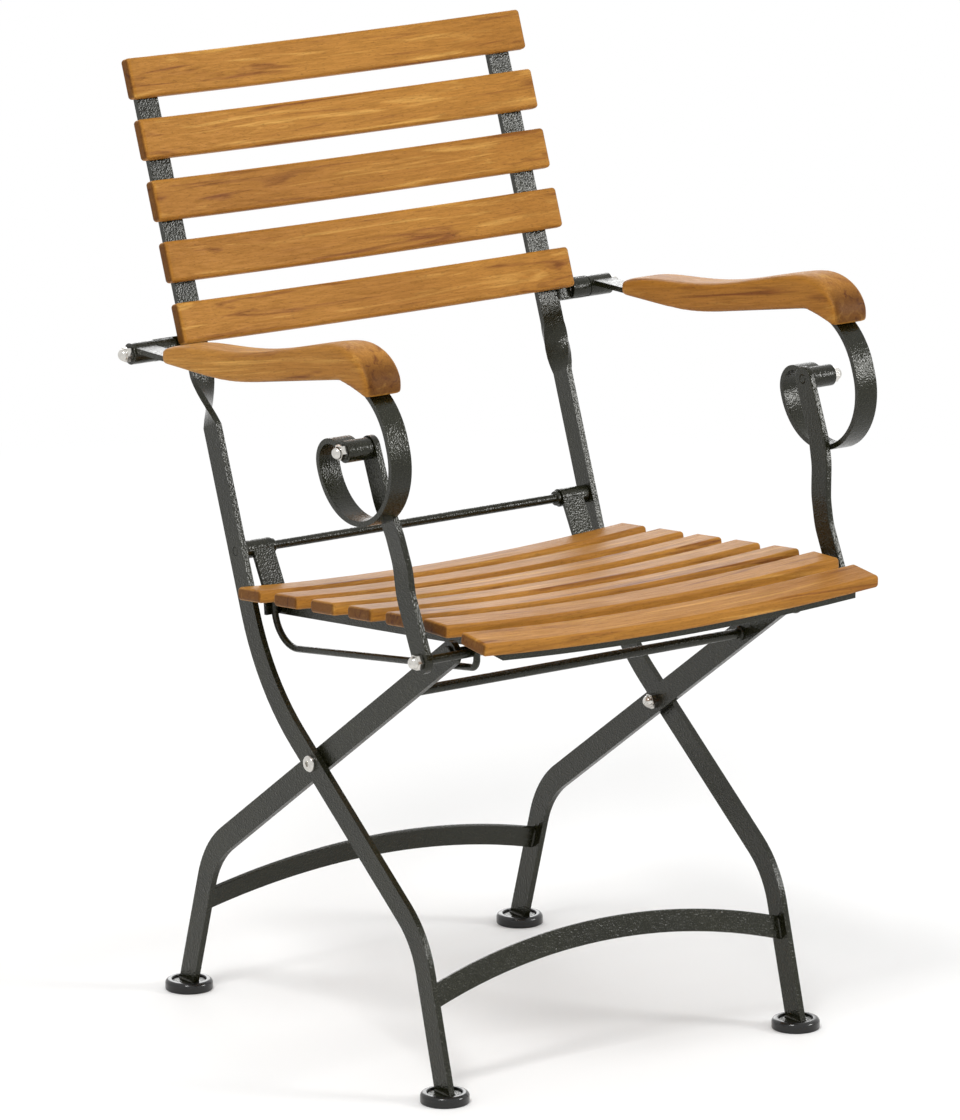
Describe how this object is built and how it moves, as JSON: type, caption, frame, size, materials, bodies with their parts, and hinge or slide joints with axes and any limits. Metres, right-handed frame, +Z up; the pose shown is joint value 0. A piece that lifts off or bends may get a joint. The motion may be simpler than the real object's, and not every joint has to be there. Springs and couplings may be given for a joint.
{
  "type": "folding armchair",
  "caption": "Folding patio armchair: hammered dark metal flat-bar frame, bowed oiled wood slats, scrolled arms with wooden armrests and round black feet.",
  "frame": {"origin": "middle of the chair's outline, on the floor", "axes": "+X to the right as seen from the front, +Y backwards, +Z up; left and right in names are as seen from the front"},
  "size_m": [0.5686, 0.5912, 0.8889],
  "materials": {
    "frame_paint": "hammered dark grey-green paint, semi-gloss",
    "wood": "oiled hardwood, satin",
    "bright_steel": "polished nickel plate",
    "screw_steel": "zinc plated",
    "foot_plastic": "glossy black"
  },
  "bodies": {
    "back_frame": {"back_bar_left": "frame_paint", "back_bar_right": "frame_paint", "front_stretcher": "frame_paint", "back_slat_1": "wood", "back_slat_2": "wood", "back_slat_3": "wood", "back_slat_4": "wood", "back_slat_5": "wood", "back_slat_screws": "screw_steel", "arm_bracket_left": "frame_paint", "arm_bracket_right": "frame_paint", "arm_pivot_studs": "bright_steel", "arm_pivot_nuts": "bright_steel", "seat_pivot_rod": "frame_paint", "leg_pivot_bolts": "bright_steel", "leg_pivot_washers": "bright_steel", "leg_pivot_nuts": "bright_steel", "front_foot_left": "foot_plastic", "front_foot_right": "foot_plastic", "front_foot_plates": "frame_paint"},
    "rear_legs": {"rear_leg_left": "frame_paint", "rear_leg_right": "frame_paint", "rear_stretcher": "frame_paint", "leg_rod": "frame_paint", "slider_stubs": "frame_paint", "rear_foot_left": "foot_plastic", "rear_foot_right": "foot_plastic", "rear_foot_plates": "frame_paint"},
    "seat": {"seat_slat_1": "wood", "seat_slat_2": "wood", "seat_slat_3": "wood", "seat_slat_4": "wood", "seat_slat_5": "wood", "seat_slat_6": "wood", "seat_slat_7": "wood", "seat_rail_left": "frame_paint", "seat_rail_right": "frame_paint", "seat_front_bar": "frame_paint", "guide_wire_left": "frame_paint", "guide_wire_right": "frame_paint", "seat_ear_left": "frame_paint", "seat_ear_right": "frame_paint", "seat_slat_screws": "screw_steel", "seat_arm_rod": "frame_paint", "post_nuts": "bright_steel"},
    "slider": {"slider_rod": "frame_paint"},
    "arm_left": {"armrest_left": "wood", "arm_bar_left": "frame_paint", "arm_bolt_left": "frame_paint", "arm_nut_left": "bright_steel", "arm_screws_left": "screw_steel"},
    "post_left": {"arm_post_left": "frame_paint"},
    "arm_right": {"armrest_right": "wood", "arm_bar_right": "frame_paint", "arm_bolt_right": "frame_paint", "arm_nut_right": "bright_steel", "arm_screws_right": "screw_steel"},
    "post_right": {"arm_post_right": "frame_paint"}
  },
  "joints": [
    {"name": "leg_fold", "type": "hinge", "parent": "back_frame", "child": "rear_legs", "pos_m": [0, 0.0069, 0.2713], "axis": [-1, 0, 0], "range_deg": [0, 72]},
    {"name": "seat_fold", "type": "hinge", "parent": "back_frame", "child": "seat", "pos_m": [0, 0.12925, 0.447], "axis": [-1, 0, 0], "range_deg": [0, 99.3]},
    {"name": "slider_run", "type": "slide", "parent": "seat", "child": "slider", "axis": [0, 0.9942, -0.108], "range_m": [0, 0.273]},
    {"name": "arm_fold_left", "type": "hinge", "parent": "back_frame", "child": "arm_left", "pos_m": [-0.26, 0.1974, 0.63024], "axis": [-1, 0, 0], "range_deg": [0, 99.3]},
    {"name": "arm_fold_right", "type": "hinge", "parent": "back_frame", "child": "arm_right", "pos_m": [0.26, 0.1974, 0.63024], "axis": [-1, 0, 0], "range_deg": [0, 99.3]},
    {"name": "post_fold_left", "type": "hinge", "parent": "seat", "child": "post_left", "pos_m": [-0.2345, -0.21962, 0.42091], "axis": [1, 0, 0], "range_deg": [0, 99.3]},
    {"name": "post_fold_right", "type": "hinge", "parent": "seat", "child": "post_right", "pos_m": [0.2345, -0.21962, 0.42091], "axis": [1, 0, 0], "range_deg": [0, 99.3]}
  ],
  "couplings": [
    {"joint": "seat_fold", "follows": "leg_fold", "ratio": 1.3782},
    {"joint": "slider_run", "follows": "leg_fold", "m_per_rad": 0.21718},
    {"joint": "arm_fold_left", "follows": "leg_fold", "ratio": 1.3782},
    {"joint": "arm_fold_right", "follows": "leg_fold", "ratio": 1.3782},
    {"joint": "post_fold_left", "follows": "leg_fold", "ratio": 1.3782},
    {"joint": "post_fold_right", "follows": "leg_fold", "ratio": 1.3782}
  ]
}
